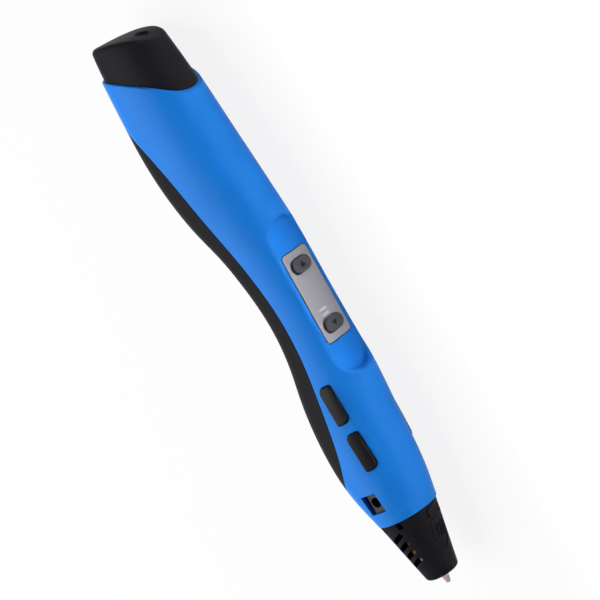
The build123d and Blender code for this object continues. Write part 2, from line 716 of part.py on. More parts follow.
def crown_gear():
    # A disc with straight teeth standing on its face, towards the pinion's axis.
    tip_z = PINION_PITCH_RADIUS - TOOTH_RISE
    root_z = PINION_PITCH_RADIUS + TOOTH_FALL
    disc = bar_z(CROWN_TIP, root_z, root_z + CROWN_DISC, DRIVE_X, WHEEL_Y)
    outer_end = Plane(origin=(DRIVE_X + CROWN_TIP, WHEEL_Y, 0), x_dir=(0, 1, 0), z_dir=(-1, 0, 0))
    tooth = Polygon(
        (-0.38, -root_z - 0.2), (0.38, -root_z - 0.2), (0.12, -tip_z), (-0.12, -tip_z), align=None
    )
    bar = extrude(outer_end * tooth, CROWN_FACE)
    axis = Axis((DRIVE_X, WHEEL_Y, 0), (0, 0, 1))
    step = 360 / CROWN_TEETH
    for i in range(CROWN_TEETH):
        disc = disc + bar.rotate(axis, step * (i + 0.5))
    hub = bar_z(2.2, WHEEL_WIDTH / 2, root_z, DRIVE_X, WHEEL_Y)
    return disc + hub - bar_z(SHAFT_RADIUS, 0, 12, DRIVE_X, WHEEL_Y)


def drive_wheel():
    # Knurled by a ring of notches, with a shallow hobbed groove for the filament.
    half = WHEEL_WIDTH / 2
    wheel = bar_z(WHEEL_RADIUS, -half, half, DRIVE_X, WHEEL_Y)
    wheel = chamfer(wheel.edges().filter_by(GeomType.CIRCLE), 0.2)
    notch = Pos(DRIVE_X + WHEEL_RADIUS + 0.12, WHEEL_Y, 0) * Rot(0, 0, 45) * Box(0.5, 0.5, WHEEL_WIDTH + 1)
    axis = Axis((DRIVE_X, WHEEL_Y, 0), (0, 0, 1))
    for i in range(WHEEL_NOTCHES):
        wheel = wheel - notch.rotate(axis, 360 * i / WHEEL_NOTCHES)
    ring = Pos(DRIVE_X, WHEEL_Y, 0) * Torus(WHEEL_RADIUS - WHEEL_GROOVE + FILAMENT / 2, FILAMENT / 2)
    return wheel - ring - bar_z(SHAFT_RADIUS, -5, 5, DRIVE_X, WHEEL_Y)


def feed_shaft():
    shaft = bar_z(SHAFT_RADIUS, -CHEEK_OUTER_Z - 0.3, CHEEK_OUTER_Z + 0.3, DRIVE_X, WHEEL_Y)
    return chamfer(shaft.edges().filter_by(GeomType.CIRCLE), 0.2)


def shaft_collar():
    return tube_z(1.7, SHAFT_RADIUS, -CHEEK_INNER_Z + 0.3, -WHEEL_WIDTH / 2, DRIVE_X, WHEEL_Y)


def shaft_bushes():
    bushes = []
    for side in (-1, 1):
        z0, z1 = sorted((side * CHEEK_INNER_Z, side * CHEEK_OUTER_Z))
        bushes.append(tube_z(BUSH_RADIUS, SHAFT_RADIUS + RUNNING, z0, z1, DRIVE_X, WHEEL_Y))
    return Compound(children=bushes)


def cheek():
    back, front = MOTOR_WALL_X, FRAME_FRONT_X
    profile = Polyline(
        (back, FRAME_BOTTOM), (front - 4, FRAME_BOTTOM), (front, FRAME_BOTTOM + 2), (front, FRAME_TOP),
        (back, FRAME_TOP), (back, FRAME_BOTTOM),
    )
    plate = extrude(Pos(0, 0, CHEEK_INNER_Z) * make_face(profile), CHEEK)
    window = Pos(DRIVE_X - 3.5, WHEEL_Y + 6.2, 0) * SlotOverall(9, 3.0)
    return plate - extrude(window, 20)


def drive_frame():
    # Two cheeks tied by the motor's wall, the front guide and the bridge over the idler's spring.
    side = CHEEK_OUTER_Z
    frame = cheek() + mirror(cheek(), about=Plane.XY)
    frame = frame + block(MOTOR_WALL_X, MOTOR_WALL_X + 1.6, FRAME_BOTTOM, FEED_Y + 2.2, -side, side)
    frame = frame + block(FRAME_FRONT_X - 1.6, FRAME_FRONT_X, FRAME_BOTTOM + 2, FEED_Y + 3, -side, side)
    frame = frame + block(ARM_END[0] - 2.0, FRAME_FRONT_X, FRAME_TOP - 1.1, FRAME_TOP, -side, side)
    frame = frame + block(MOTOR_WALL_X - 5.0, MOTOR_WALL_X + 0.8, FRAME_TOP - 1.6, FRAME_TOP, -side, side)
    for x, seat in case_screw_places():
        top = max(seat + 3.2, FRAME_BOTTOM + 1.2)
        frame = frame + block(x - 2.2, x + 2.2, seat + 1.0, top, -2.8, 2.8)
        frame = frame - bar_y(0.95, seat, seat + 5, x, 0)
    for z in (-3.0, 3.0):
        frame = frame - bar_y(1.0, FRAME_TOP - 4, FRAME_TOP + 1, MOTOR_WALL_X - 2.6, z)
    for x in (MOTOR_WALL_X, FRAME_FRONT_X):
        frame = frame - bar_x(TUBE_OUTER / 2, x - 3, x + 3, FEED_Y)
    frame = frame - bar_x(1.5, MOTOR_WALL_X - 1, MOTOR_WALL_X + 3, WHEEL_Y)
    frame = frame - bar_z(BUSH_RADIUS, -side - 1, side + 1, DRIVE_X, WHEEL_Y)
    return frame - bar_z(ARM_PIN, -side - 1, side + 1, *ARM_PIVOT)


def arm_plate():
    # One side plate of the idler: pivot lug, roller lug and the pad under the spring.
    pivot = Pos(*ARM_PIVOT) * Circle(1.5)
    roller = Pos(DRIVE_X, ROLLER_Y) * Circle(1.35)
    pad = Pos(*ARM_END) * Circle(0.9)
    rear = make_hull((pivot + roller).edges())
    front = make_hull((roller + pad).edges())
    return extrude(Pos(0, 0, ARM_INNER_Z) * (rear + front), ARM_PLATE)


def idler_arm():
    outer = ARM_INNER_Z + ARM_PLATE
    arm = arm_plate() + mirror(arm_plate(), about=Plane.XY)
    arm = arm + block(ARM_END[0] - 1.3, ARM_END[0] + 1.3, ARM_END[1] - 0.8, ARM_END[1] + 0.8, -outer, outer)
    for z0, z1 in ((outer, CHEEK_INNER_Z - 0.3), (0.3 - CHEEK_INNER_Z, -outer)):
        arm = arm + bar_z(1.4, z0, z1, *ARM_PIVOT)
    arm = arm - bar_z(ARM_PIN + 0.05, -9, 9, *ARM_PIVOT)
    return arm - bar_z(SHAFT_RADIUS, -9, 9, DRIVE_X, ROLLER_Y)


def idler_pin():
    return bar_z(ARM_PIN, -CHEEK_OUTER_Z, CHEEK_OUTER_Z, *ARM_PIVOT)


def idler_roller():
    half = ROLLER_WIDTH / 2
    roller = tube_z(ROLLER_RADIUS, SHAFT_RADIUS + RUNNING, -half, half, DRIVE_X, ROLLER_Y)
    return chamfer(roller.edges().filter_by(GeomType.CIRCLE), 0.15)


def roller_pin():
    outer = ARM_INNER_Z + ARM_PLATE
    return bar_z(SHAFT_RADIUS, -outer, outer, DRIVE_X, ROLLER_Y)


def idler_spring():
    low = ARM_END[1] + 0.8
    high = FRAME_TOP - 1.1
    wire = 0.2
    coil = Helix(pitch=0.55, height=high - low - 2.4 * wire, radius=1.1)
    start = Plane(origin=coil @ 0, z_dir=coil % 0)
    spring = sweep(start * Circle(wire), path=coil, is_frenet=True)
    return Pos(ARM_END[0], low + 1.2 * wire, 0) * Rot(-90, 0, 0) * spring


# ---------------------------------------------------------------- screws
def screw(x, seat, z, head_below, length):
    # A pan head on the seat's lower side and a shank that goes up from it.
    body = bar_y(1.8, seat - head_below, seat, x, z)
    body = body - Pos(x, seat - head_below, z) * Box(2.2, 0.9, 0.5) - Pos(x, seat - head_below, z) * Box(0.5, 0.9, 2.2)
    return body + bar_y(0.8, seat, seat + length, x, z)


def case_screws():
    return Compound(children=[screw(x, seat, 0, 1.1, 4.8) for x, seat in case_screw_places()])


def frame_screws():
    seat = FRAME_TOP - 1.6
    return Compound(children=[screw(MOTOR_WALL_X - 2.6, seat, z, 1.1, 3.8) for z in (-3.0, 3.0)])


PARTS = {
    "upper_shell": upper_shell,
    "belly_shell": belly_shell,
    "tail_cap": tail_cap,
    "inlet_bush": inlet_bush,
    "nose_cover": nose_cover,
    "key_plate": key_plate,
    "rear_key": lambda: key(key_spots()[0], -1),
    "front_key": lambda: key(key_spots()[1], 1),
    "right_rear_button": lambda: side_button(BUTTON_XS[0]),
    "right_front_button": lambda: side_button(BUTTON_XS[1]),
    "left_button": lambda: mirror(side_button(BUTTON_XS[1]), about=Plane.XY),
    "power_jack": power_jack,
    "power_pin": power_pin,
    "jack_board": jack_board,
    "main_board": main_board,
    "key_switches": key_switches,
    "board_parts": board_parts,
    "side_board": side_board,
    "side_switches": side_switches,
    "left_board": left_board,
    "left_switch": lambda: mirror(switch(button_plane(BUTTON_XS[1], SIDE_BOARD_DEPTH)), about=Plane.XY),
    "rear_guide_tube": rear_guide_tube,
    "front_guide_tube": front_guide_tube,
    "tube_coupler": tube_coupler,
    "heat_break": heat_break,
    "hot_end_carrier": hot_end_carrier,
    "nozzle": nozzle,
    "heater_jacket": heater_jacket,
    "insulation_sleeve": insulation_sleeve,
    "thermistor": thermistor,
    "feed_motor": feed_motor,
    "gearbox": gearbox,
    "motor_shaft": motor_shaft,
    "motor_pinion": motor_pinion,
    "feed_shaft": feed_shaft,
    "drive_wheel": drive_wheel,
    "crown_gear": crown_gear,
    "shaft_collar": shaft_collar,
    "shaft_bushes": shaft_bushes,
    "drive_frame": drive_frame,
    "idler_arm": idler_arm,
    "idler_pin": idler_pin,
    "idler_roller": idler_roller,
    "roller_pin": roller_pin,
    "idler_spring": idler_spring,
    "case_screws": case_screws,
    "frame_screws": frame_screws,
}

os.makedirs("parts", exist_ok=True)
for name, make in PARTS.items():
    print("making", name, flush=True)
    export_step(make(), "parts/" + name + ".step")
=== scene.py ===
import bmesh
import bpy
import math
import numpy as np
from mathutils import Matrix, Vector


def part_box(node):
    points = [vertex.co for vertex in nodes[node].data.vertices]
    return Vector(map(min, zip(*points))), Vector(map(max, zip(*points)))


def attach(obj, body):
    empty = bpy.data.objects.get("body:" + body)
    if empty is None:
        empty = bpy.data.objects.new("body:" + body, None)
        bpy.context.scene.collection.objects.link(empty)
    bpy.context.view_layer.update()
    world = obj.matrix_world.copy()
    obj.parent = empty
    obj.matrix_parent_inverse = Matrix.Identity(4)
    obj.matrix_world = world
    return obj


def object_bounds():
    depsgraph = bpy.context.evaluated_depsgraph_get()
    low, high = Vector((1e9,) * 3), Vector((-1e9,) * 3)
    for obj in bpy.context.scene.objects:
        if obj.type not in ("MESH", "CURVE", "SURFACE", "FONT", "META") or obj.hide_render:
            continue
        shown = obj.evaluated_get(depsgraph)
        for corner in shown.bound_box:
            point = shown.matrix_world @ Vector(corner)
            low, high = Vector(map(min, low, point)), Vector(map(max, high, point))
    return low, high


# A pen that draws with melted plastic, lying on its side on a pale table.
# Metres.  +X leaves the nozzle, +Y faces the thumb dish, +Z is up on the table.
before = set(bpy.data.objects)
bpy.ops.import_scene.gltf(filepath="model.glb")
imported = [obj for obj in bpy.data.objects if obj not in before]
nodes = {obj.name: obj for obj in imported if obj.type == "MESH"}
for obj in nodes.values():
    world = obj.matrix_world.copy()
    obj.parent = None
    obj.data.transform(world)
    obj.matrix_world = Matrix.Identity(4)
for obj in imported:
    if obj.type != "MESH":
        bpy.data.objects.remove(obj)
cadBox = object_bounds()
mm = 0.001
edgeRamp = (0.02, 0.25)  # how far the rounded normal leans where an edge begins, and where it is full
print("frame loaded:", len(nodes), "nodes")


# A Wire is one output socket of a shader, and arithmetic on it adds Math nodes.
class Wire:
    def __init__(self, graph, socket):
        self.graph = graph
        self.socket = socket

    def maths(self, operation, first, second=None):
        values = {0: first} if second is None else {0: first, 1: second}
        return self.graph.add("ShaderNodeMath", {"operation": operation}, values)

    def __add__(self, other):
        return self.maths("ADD", self, other)

    def __radd__(self, other):
        return self.maths("ADD", other, self)

    def __sub__(self, other):
        return self.maths("SUBTRACT", self, other)

    def __rsub__(self, other):
        return self.maths("SUBTRACT", other, self)

    def __mul__(self, other):
        return self.maths("MULTIPLY", self, other)

    def __rmul__(self, other):
        return self.maths("MULTIPLY", other, self)

    def sine(self):
        return self.maths("SINE", self)

    def clamped(self):
        settings = {"operation": "ADD", "use_clamp": True}
        return self.graph.add("ShaderNodeMath", settings, {0: self, 1: 0.0})


# A Graph is one material and its nodes; its patterns lie on the object's own coordinates.
class Graph:
    def __init__(self, name):
        self.material = bpy.data.materials.new(name)
        self.material.use_nodes = True
        self.tree = self.material.node_tree
        self.tree.nodes.clear()
        self.place = self.add("ShaderNodeTexCoord", {}, {}, "Object")

    # Adds any node: its settings first, then values or links for its sockets.
    def add(self, kind, settings, sockets, output=0):
        node = self.tree.nodes.new(kind)
        for name, value in settings.items():
            setattr(node, name, value)
        for name, value in sockets.items():
            if isinstance(value, Wire):
                self.tree.links.new(value.socket, node.inputs[name])
            elif value is not None:
                node.inputs[name].default_value = value
        return Wire(self, node.outputs[output]) if len(node.outputs) else node

    def noise(self, size, detail=2.0, stretch=(1.0, 1.0, 1.0), seed=0.0):
        # Soft noise with grains about size metres across: stretch makes them longer on an axis, detail
        # adds finer grains on top, and seed only moves the pattern.
        scale = tuple(1.0 / (size * longer) for longer in stretch)
        moved = {"Vector": self.place, "Scale": scale, "Location": (seed,) * 3}
        where = self.add("ShaderNodeMapping", {}, moved)
        sockets = {"Vector": where, "Scale": 1.0, "Detail": detail}
        return self.add("ShaderNodeTexNoise", {"noise_dimensions": "3D"}, sockets)

    def waver(self, size, amount, seed=0.0):
        # The same noise moved to swing evenly about 0, over amount from its lowest to its highest.
        return (self.noise(size, seed=seed) - 0.5) * amount

    def along(self):
        # How far along the pen a point lies, 0 at the nozzle's tip and negative behind it.
        return self.add("ShaderNodeSeparateXYZ", {}, {"Vector": self.place}, "X")

    def ramp(self, value, low, high):
        # 0 below low, 1 above high, and a smooth step between them.
        settings = {"interpolation_type": "SMOOTHSTEP"}
        sockets = {"Value": value, "From Min": low, "From Max": high}
        return self.add("ShaderNodeMapRange", settings, sockets)

    def mix(self, share, first, second):
        # Mixes two colours; in this node 6 and 7 are the colour sockets, and output 2 the colour.
        first, second = (c if isinstance(c, Wire) else (*c[:3], 1.0) for c in (first, second))
        sockets = {0: share, 6: first, 7: second}
        return self.add("ShaderNodeMix", {"data_type": "RGBA"}, sockets, 2)

    def bump(self, height, depth, normal=None):
        sockets = {"Height": height, "Distance": depth, "Strength": 1.0, "Normal": normal}
        return self.add("ShaderNodeBump", {}, sockets)

    def softEdges(self, radius):
        # The surface's normal, turned as if each sharp edge were rounded to that radius.
        return self.add("ShaderNodeBevel", {"samples": 6}, {"Radius": radius})

    def edgeMask(self, soft):
        # 1 along the edges, where the rounded normal leans off the flat one.
        flat = self.add("ShaderNodeNewGeometry", {}, {}, "Normal")
        settings = {"operation": "DOT_PRODUCT"}
        likeness = self.add("ShaderNodeVectorMath", settings, {0: soft, 1: flat}, "Value")
        return self.ramp(1.0 - likeness, *edgeRamp)

    def finish(self, **sockets):
        sockets = {name.replace("_", " "): value for name, value in sockets.items()}
        shader = self.add("ShaderNodeBsdfPrincipled", {}, sockets)
        self.add("ShaderNodeOutputMaterial", {}, {"Surface": shader})
        return self.material


def tone(shade, factor):
    return tuple(min(1.0, c * factor) for c in shade[:3])


# Moulded plastic: spark-eroded grain, a slow mottle, paler edges that are partly rubbed wear and partly a
# painted edge highlight, and fine scratches.
plasticLook = {
    "mottle": 0.02, "mottleRamp": (0.35, 0.7), "mottleShare": 0.5, "mottleTones": (0.96, 1.05),
    "wearHighlightPatch": 0.004, "wearHighlightPatchRamp": (0.4, 0.65), "wearHighlightPaler": 0.13, "rubShine": 0.2,  # where hands rub an edge; the paler edge also stands in as a painted highlight
    "scratch": 0.00008, "scratchStretch": (60.0, 1.0, 2.0), "scratchRamp": (0.68, 0.78),
    "scratchPatch": 0.012, "patchRamp": (0.5, 0.7),  # scratches gather in patches
    "scratchDull": 0.06, "scratchDepth": 0.5,  # the depth is a share of the grain's
    "handled": 0.006, "handledShine": 0.08,  # a slow change in shine
}


def mouldedPlastic(
    name, shade, roughness, grain=0.00012, grainDepth=0.000006, edgeWearHighlight=0.25, edge=0.0002, gloss=0.25,
):
    look = plasticLook
    g = Graph(name)
    soft = g.softEdges(edge)
    mottle = g.ramp(g.noise(look["mottle"], 3.0), *look["mottleRamp"])
    dark, light = (tone(shade, factor) for factor in look["mottleTones"])
    colour = g.mix(mottle * look["mottleShare"], dark, light)
    # edges turned paler in patches: partly rubbed wear, partly a painted edge highlight
    wornLitEdge = g.edgeMask(soft) * g.ramp(g.noise(look["wearHighlightPatch"], 3.0, seed=3.0), *look["wearHighlightPatchRamp"]) * edgeWearHighlight
    colour = g.mix(wornLitEdge, colour, tuple(c + (1.0 - c) * look["wearHighlightPaler"] for c in shade))
    lines = g.noise(look["scratch"], 1.0, stretch=look["scratchStretch"], seed=7.0)
    patches = g.noise(look["scratchPatch"], 2.0, seed=5.0)
    scuffs = g.ramp(lines, *look["scratchRamp"]) * g.ramp(patches, *look["patchRamp"])
    shine = roughness + g.waver(look["handled"], look["handledShine"], seed=1.0)
    shine = shine + scuffs * look["scratchDull"] - wornLitEdge * look["rubShine"]
    height = g.noise(grain) - scuffs * look["scratchDepth"]
    normal = g.bump(height, grainDepth, soft)
    return g.finish(
        Base_Color=colour, Roughness=shine.clamped(), Normal=normal, Specular_IOR_Level=gloss,
    )


# Turned or drawn metal: fine lines round or along an axis, and a dull patchy film.
metalLook = {
    "edge": 0.00012, "edgeShare": 0.5, "edgeTone": 1.15,
    "film": 0.003, "filmRamp": (0.35, 0.7), "filmShare": 0.4, "filmTone": 0.78, "filmDull": 0.12,
    "line": 0.00012, "lineDull": 0.12, "lineDepth": 0.000004,
}


def workedMetal(name, shade, roughness, stretch=(1.0, 1.0, 1.0)):
    look = metalLook
    g = Graph(name)
    soft = g.softEdges(look["edge"])
    film = g.ramp(g.noise(look["film"], 3.0), *look["filmRamp"])
    colour = g.mix(film * look["filmShare"], shade, tone(shade, look["filmTone"]))
    colour = g.mix(g.edgeMask(soft) * look["edgeShare"], colour, tone(shade, look["edgeTone"]))
    lines = g.noise(look["line"], stretch=stretch, seed=2.0)
    shine = roughness + film * look["filmDull"] + (lines - 0.5) * look["lineDull"]
    normal = g.bump(lines, look["lineDepth"], soft)
    return g.finish(Base_Color=colour, Metallic=1.0, Roughness=shine.clamped(), Normal=normal)


# Fired ceramic: pale and faintly speckled, and scorched towards the nozzle's tip.
ceramicLook = {
    "edge": 0.00015, "speck": 0.0003, "speckRamp": (0.62, 0.75), "speckShare": 0.35, "speckTone": 0.75,
    "scorchRamp": (-0.0022, -0.0002), "scorchWaver": (0.0015, 0.0016),  # where along the pen it scorches
    "scorchShare": 0.55, "scorchShade": (0.33, 0.27, 0.23),
    "roughness": 0.5, "shineWaver": (0.001, 0.15), "grain": 0.00015, "grainDepth": 0.000008,
    "glow": 0.15, "glowRadius": (0.001, 0.0006, 0.0005), "glowScale": 0.5,  # light that soaks in
}


def firedCeramic(name, shade, scorch=True):
    look = ceramicLook
    g = Graph(name)
    soft = g.softEdges(look["edge"])
    specks = g.ramp(g.noise(look["speck"], 3.0), *look["speckRamp"])
    colour = g.mix(specks * look["speckShare"], shade, tone(shade, look["speckTone"]))
    if scorch:
        tip = g.ramp(g.along() + g.waver(*look["scorchWaver"]), *look["scorchRamp"])
        colour = g.mix(tip * look["scorchShare"], colour, look["scorchShade"])
    shine = look["roughness"] + g.waver(*look["shineWaver"])
    normal = g.bump(g.noise(look["grain"], 3.0), look["grainDepth"], soft)
    return g.finish(
        Base_Color=colour, Roughness=shine.clamped(), Normal=normal, Subsurface_Weight=look["glow"],
        Subsurface_Radius=look["glowRadius"], Subsurface_Scale=look["glowScale"],
    )


# Circuit board: solder mask over faint tracks, and bare resin along the cut edges.
boardLook = {
    "edge": 0.0001, "edgeShare": 0.6, "edgeShade": (0.45, 0.4, 0.2),
    "tracks": {"Scale": 420.0, "Mortar Size": 0.03, "Brick Width": 1.6, "Row Height": 0.35},
    "trackShare": 0.8, "trackDepth": 0.00002, "mask": (0.012, 0.1, 0.045), "between": (0.03, 0.22, 0.09),
    "roughness": 0.3, "dull": 0.002, "dullShare": 0.15,
}


def circuitBoard(name):
    look = boardLook
    g = Graph(name)
    soft = g.softEdges(look["edge"])
    sockets = {"Vector": g.place, **look["tracks"]}
    tracks = g.add("ShaderNodeTexBrick", {"offset": 0.5}, sockets, "Fac")
    colour = g.mix(tracks * look["trackShare"], look["mask"], look["between"])
    colour = g.mix(g.edgeMask(soft) * look["edgeShare"], colour, look["edgeShade"])
    shine = look["roughness"] + g.noise(look["dull"]) * look["dullShare"]
    normal = g.bump(tracks, look["trackDepth"], soft)
    return g.finish(Base_Color=colour, Roughness=shine.clamped(), Normal=normal)


# Amber heatproof tape: turns round the heater as a sine along the pen, broken up by a weave.
tapeLook = {
    "turns": 9000.0, "weave": 0.0002, "turnRamp": (0.0, 1.4), "turnDepth": 0.5, "depth": 0.00005,
    "shades": ((0.16, 0.06, 0.012), (0.34, 0.14, 0.03)), "roughness": 0.85,
}


def heatproofTape(name):
    look = tapeLook
    g = Graph(name)
    turns = (g.along() * look["turns"]).sine()
    weave = g.noise(look["weave"])
    colour = g.mix(g.ramp(turns + weave, *look["turnRamp"]), *look["shades"])
    normal = g.bump(turns * look["turnDepth"] + weave, look["depth"])
    return g.finish(Base_Color=colour, Roughness=look["roughness"], Normal=normal)


# Slippery guide tube: pale and a little cloudy, with drawn lines along it.
tubeLook = {
    "haze": 0.002, "hazeRamp": (0.3, 0.7), "shades": ((0.7, 0.7, 0.68), (0.86, 0.86, 0.84)),
    "roughness": 0.28, "hazeDull": 0.15, "line": 0.0004, "lineStretch": (8.0, 1.0, 1.0), "lineDepth": 0.00001,
}


def slipperyTube(name):
    look = tubeLook
    g = Graph(name)
    haze = g.ramp(g.noise(look["haze"], 3.0), *look["hazeRamp"])
    colour = g.mix(haze, *look["shades"])
    shine = look["roughness"] + haze * look["hazeDull"]
    normal = g.bump(g.noise(look["line"], stretch=look["lineStretch"]), look["lineDepth"])
    return g.finish(Base_Color=colour, Roughness=shine.clamped(), Normal=normal)


blackShade = (0.0105, 0.010, 0.0135)
finishes = {
    "blue": mouldedPlastic(
        "BlueShell", (0.012, 0.225, 0.80), 0.46,
        grain=0.00016, grainDepth=0.000005, edgeWearHighlight=0.3, edge=0.0004, gloss=0.1,
    ),
    "black": mouldedPlastic(
        "BlackShell", blackShade, 0.55, grain=0.0002, grainDepth=0.00001, edgeWearHighlight=0.2, gloss=0.06,
    ),
    "button": mouldedPlastic("ButtonPlastic", tone(blackShade, 0.8), 0.42, grain=0.00018, gloss=0.15),
    "grey": mouldedPlastic(
        "PlatePaint", (0.40, 0.385, 0.42), 0.4, grain=0.0001, grainDepth=0.000003, edgeWearHighlight=0.1,
    ),
    "key": mouldedPlastic("KeyPlastic", (0.05, 0.05, 0.06), 0.35, grainDepth=0.000004, edgeWearHighlight=0.3),
    "chip": mouldedPlastic("ChipPlastic", (0.02, 0.02, 0.022), 0.5, edgeWearHighlight=0.1),
    "white": mouldedPlastic("WhitePlastic", (0.74, 0.74, 0.72), 0.45, edgeWearHighlight=0.0),
    # near-black sheets laid in the keys' arrow hollows: painted shade of the recess
    "ink": mouldedPlastic("PaintedArrowShade", (0.008, 0.008, 0.010), 0.5, grain=0.0001, edgeWearHighlight=0.0, gloss=0.1),
    "print": mouldedPlastic(
        "WhiteInk", (0.82, 0.82, 0.84), 0.5, grain=0.00008, grainDepth=0.000003, edgeWearHighlight=0.0,
    ),
    "ceramic": firedCeramic("NozzleCeramic", (0.82, 0.62, 0.57)),
    "jacket": firedCeramic("JacketCeramic", (0.42, 0.38, 0.33), scorch=False),
    "steel": workedMetal("TurnedSteel", (0.56, 0.56, 0.57), 0.3),
    "can": workedMetal("MotorCan", (0.5, 0.5, 0.52), 0.35, stretch=(30.0, 1.0, 1.0)),
    "brass": workedMetal("TurnedBrass", (0.72, 0.5, 0.2), 0.3),
    "aluminium": workedMetal("TurnedAluminium", (0.75, 0.76, 0.78), 0.35),
    "board": circuitBoard("CircuitBoard"),
    "tape": heatproofTape("HeatproofTape"),
    "tube": slipperyTube("SlipperyTube"),
}
dressed = {
    "blue": ["upper_shell"],
    "black": ["belly_shell", "tail_cap", "inlet_bush", "nose_cover"],
    "button": ["right_rear_button", "right_front_button", "left_button"],
    "grey": ["key_plate"],
    "key": ["rear_key", "front_key"],
    "chip": ["power_jack", "board_parts", "drive_frame", "hot_end_carrier"],
    "white": ["crown_gear", "idler_arm"],
    "ceramic": ["nozzle"],
    "jacket": ["heater_jacket", "thermistor"],
    "steel": [
        "power_pin", "heat_break", "motor_shaft", "feed_shaft", "drive_wheel", "idler_pin", "idler_roller",
        "roller_pin", "idler_spring", "case_screws", "frame_screws", "key_switches", "side_switches",
        "left_switch",
    ],
    "can": ["feed_motor", "gearbox"],
    "brass": ["motor_pinion", "shaft_bushes", "tube_coupler"],
    "aluminium": ["shaft_collar"],
    "board": ["main_board", "side_board", "left_board", "jack_board"],
    "tape": ["insulation_sleeve"],
    "tube": ["rear_guide_tube", "front_guide_tube"],
}
for finish, names in dressed.items():
    for name in names:
        nodes[name].data.materials.clear()
        nodes[name].data.materials.append(finishes[finish])
undressed = set(nodes) - {name for names in dressed.values() for name in names}
print("finishes laid on", len(nodes), "nodes; left over:", sorted(undressed))


def addPiece(name, points, faces, finish, slotName, body="housing"):
    mesh = bpy.data.meshes.new(name)
    mesh.from_pydata(points.tolist(), [], faces)
    shell = bmesh.new()
    shell.from_mesh(mesh)
    bmesh.ops.recalc_face_normals(shell, faces=shell.faces)  # each new piece is closed: this turns them out
    shell.to_mesh(mesh)
    shell.free()
    mesh.polygons.foreach_set("use_smooth", [True] * len(mesh.polygons))
    mesh.materials.append(finishes[finish])
    mesh.update()
    piece = bpy.data.objects.new(name, mesh)
    bpy.context.scene.collection.objects.link(piece)
    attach(piece, body)


def gridFaces(rows, columns, closed=False):
    # Quads between neighbouring rows; closed joins the last column to the first.
    last = columns if closed else columns - 1
    i, j = np.meshgrid(np.arange(rows - 1), np.arange(last), indexing="ij")
    a, b = i * columns + j, i * columns + (j + 1) % columns
    return np.stack([a, b, b + columns, a + columns], -1).reshape(-1, 4)


def joinGrids(grids):
    # Several tubes of points (rows, columns, 3) in one mesh, each with a cap on its first and last row.
    points, faces, start = [], [], 0
    for grid in grids:
        rows, columns = grid.shape[:2]
        end = start + (rows - 1) * columns
        points.append(grid.reshape(-1, 3))
        faces += (gridFaces(rows, columns, closed=True) + start).tolist()
        faces.append(list(range(start + columns - 1, start - 1, -1)))
        faces.append(list(range(end, end + columns)))
        start += rows * columns
    return np.concatenate(points), faces


# The raised marks on the nose: a pointed frame of three strips round three plain ribs.
nose = {
    "rear": -0.0243, "front": -0.0032,  # the cover's ends
    "height": (0.0095, 0.0051), "width": (0.00915, 0.0051), "centre": (0.0004, 0.0),  # rear and front
    "middle": 94.0,  # degrees round the nose from +Z, where the marks are centred
    "sunk": 0.00015,  # how deep the strips' feet go into the cover
    "thinnest": 0.0004, "taper": 0.25,  # how a strip's ends close: the least of 1 - u^2, and its power
    "steps": 28, "around": 10,  # rows along a strip, and points round it
}
noseMarks = {  # in millimetres, each path a list of places (x, offset round the nose)
    "frame": {"width": 0.45, "height": 0.28, "paths": [
        [(-19.5, -2.7), (-19.5, 3.1)],
        [(-19.2, -3.1), (-14.0, -3.2), (-9.8, -0.5)],
        [(-19.2, 3.4), (-13.6, 2.4), (-9.8, -0.5)],
    ]},
    "ribs": {"width": 0.65, "height": 0.38, "paths": [
        [(-18.2, side + 0.3), (-13.6, side * 0.8 - 0.4)] for side in (-1.5, 0.0, 1.5)
    ]},
}


def coverSize(name, x):
    # The cover's height, width or centre at x, which changes evenly from its rear to its front end.
    rear, front = nose[name]
    share = (x - nose["rear"]) / (nose["front"] - nose["rear"])
    return rear + (front - rear) * share


def onNose(x, turn, lift):
    # A point of the cover: an ellipse round the axis, y = centre + height * sin(turn) and
    # z = width * cos(turn), moved out by lift along the ellipse's own outward direction.
    high, wide, centre = (coverSize(name, x) for name in ("height", "width", "centre"))
    out = np.stack([np.sin(turn) / high, np.cos(turn) / wide])
    out = out / np.linalg.norm(out, axis=0)
    y = centre + high * np.sin(turn) + lift * out[0]
    z = wide * np.cos(turn) + lift * out[1]
    return np.stack([x, y, z], -1)


def noseStrip(stations, width, height):
    # A strip along a path.  Across the path it is half an oval: lift = height * sin(angle) and
    # side = width / 2 * cos(angle), and both shrink at its ends as the fourth root of 1 - u^2 does.
    stations = np.array(stations) * mm
    reach = np.linspace(-1.0, 1.0, nose["steps"])
    along = (reach + 1) / 2 * (len(stations) - 1)
    x0 = np.interp(along, np.arange(len(stations)), stations[:, 0])
    side0 = np.interp(along, np.arange(len(stations)), stations[:, 1])
    way = np.stack([np.gradient(x0), np.gradient(side0)])
    way = way / np.linalg.norm(way, axis=0)
    angle = np.linspace(0, 2 * np.pi, nose["around"], endpoint=False)[None, :]
    full = np.maximum(1 - reach ** 2, nose["thinnest"])[:, None] ** nose["taper"]
    offset = width * mm / 2 * np.cos(angle) * full
    raised, buried = height * mm * np.sin(angle) * full, nose["sunk"] * np.sin(angle)
    lift = np.where(np.sin(angle) > 0, raised, buried)
    x = x0[:, None] - way[1][:, None] * offset
    side = side0[:, None] + way[0][:, None] * offset
    turn = math.radians(nose["middle"]) + side / coverSize("width", x)
    return onNose(x, turn, lift)


strips = [
    noseStrip(path, mark["width"], mark["height"]) for mark in noseMarks.values() for path in mark["paths"]
]
addPiece("nose_marks", *joinGrids(strips), "black", "black_shell")
print("nose marks made")
